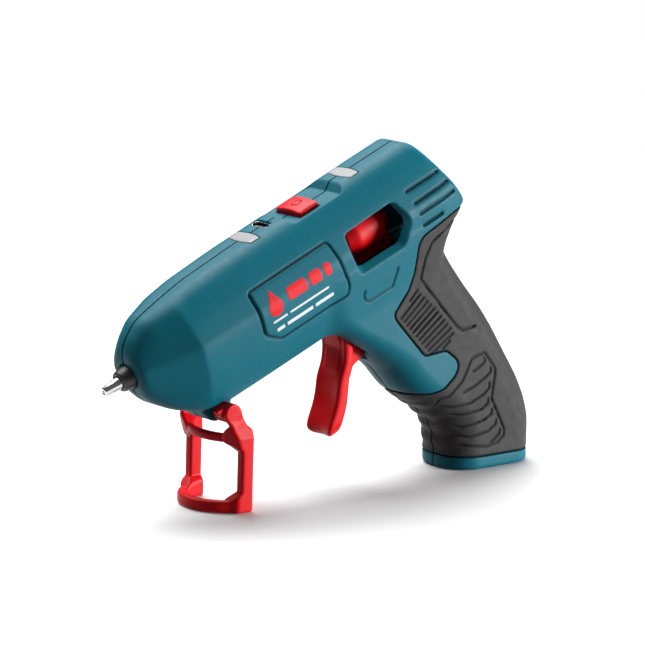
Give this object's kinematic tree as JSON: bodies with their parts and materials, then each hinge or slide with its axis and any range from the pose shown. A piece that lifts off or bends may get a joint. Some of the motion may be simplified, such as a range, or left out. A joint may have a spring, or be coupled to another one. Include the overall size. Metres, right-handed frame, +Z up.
{
  "type": "cordless glue gun",
  "caption": "Cordless pistol-shaped hot-glue gun with a rubber-covered handle, side window, trigger, top button and folding front stand.",
  "frame": {"origin": "centre of the flat underside of the handle, on the surface the gun stands on", "axes": "+Z up, -X towards the nozzle, -Y the left side of the gun"},
  "size_m": [0.1972, 0.038, 0.1265],
  "materials": {
    "teal_shell": "satin, fine spark texture",
    "grip_rubber": "matt",
    "red_plastic": "satin",
    "bright_steel": "polished",
    "spring_steel": "drawn",
    "black_plastic": "satin",
    "chamber_metal": "cast",
    "silicone": "soft satin",
    "lamp_lens": "frosted",
    "board": "solder mask",
    "cell": "shrink sleeve",
    "wire": "insulated"
  },
  "bodies": {
    "gun_body": {"left_housing": "teal_shell", "right_housing": "teal_shell", "left_grip": "grip_rubber", "right_grip": "grip_rubber", "rear_inlet": "black_plastic", "housing_screws": "spring_steel", "nozzle_collar": "black_plastic", "nozzle": "bright_steel", "nozzle_ball": "bright_steel", "nozzle_spring": "spring_steel", "melt_chamber": "chamber_metal", "ptc_heater": "board", "heater_clip": "spring_steel", "front_chamber_mount": "black_plastic", "rear_chamber_mount": "black_plastic", "stick_sleeve": "silicone", "sleeve_clamp": "spring_steel", "trigger_pin": "spring_steel", "return_spring": "spring_steel", "button_switch": "black_plastic", "usb_shell": "bright_steel", "usb_tongue": "black_plastic", "front_lens": "lamp_lens", "rear_lens": "lamp_lens", "status_leds": "lamp_lens", "control_board": "board", "battery_cell": "cell", "battery_tabs": "spring_steel", "battery_cradle": "black_plastic", "battery_leads": "wire", "heater_leads": "wire", "stand_pin": "spring_steel"},
    "trigger": {"trigger": "red_plastic"},
    "carriage": {"feed_carriage": "red_plastic", "feed_pin": "spring_steel", "jaw_pin": "spring_steel"},
    "jaw": {"clamp_jaw": "bright_steel"},
    "stand": {"stand": "red_plastic"},
    "button": {"power_button": "red_plastic"}
  },
  "joints": [
    {"name": "trigger_pivot", "type": "hinge", "parent": "gun_body", "child": "trigger", "pos_m": [-0.07112, 0, 0.06176], "axis": [0, -1, 0], "range_deg": [0, 20], "stiffness_Nm_per_rad": 0.6, "springref_deg": -6.88},
    {"name": "carriage_feed", "type": "slide", "parent": "gun_body", "child": "carriage", "axis": [-0.9191, 0, -0.3939], "range_m": [0, 0.00657], "deforming": ["return_spring"]},
    {"name": "jaw_bite", "type": "hinge", "parent": "carriage", "child": "jaw", "pos_m": [-0.05526, 0, 0.09075], "axis": [0, 1, 0], "range_deg": [0, 4.01]},
    {"name": "stand_fold", "type": "hinge", "parent": "gun_body", "child": "stand", "pos_m": [-0.1293, 0, 0.03606], "axis": [0, -1, 0], "range_deg": [0, 100]},
    {"name": "button_press", "type": "slide", "parent": "gun_body", "child": "button", "axis": [0.3939, 0, -0.9191], "range_m": [0, 0.0008], "stiffness_N_per_m": 600, "springref_m": -0.0003}
  ],
  "couplings": [
    {"joint": "carriage_feed", "follows": "trigger_pivot", "m_per_rad": 0.01869},
    {"joint": "jaw_bite", "follows": "trigger_pivot", "ratio": 0.2}
  ]
}
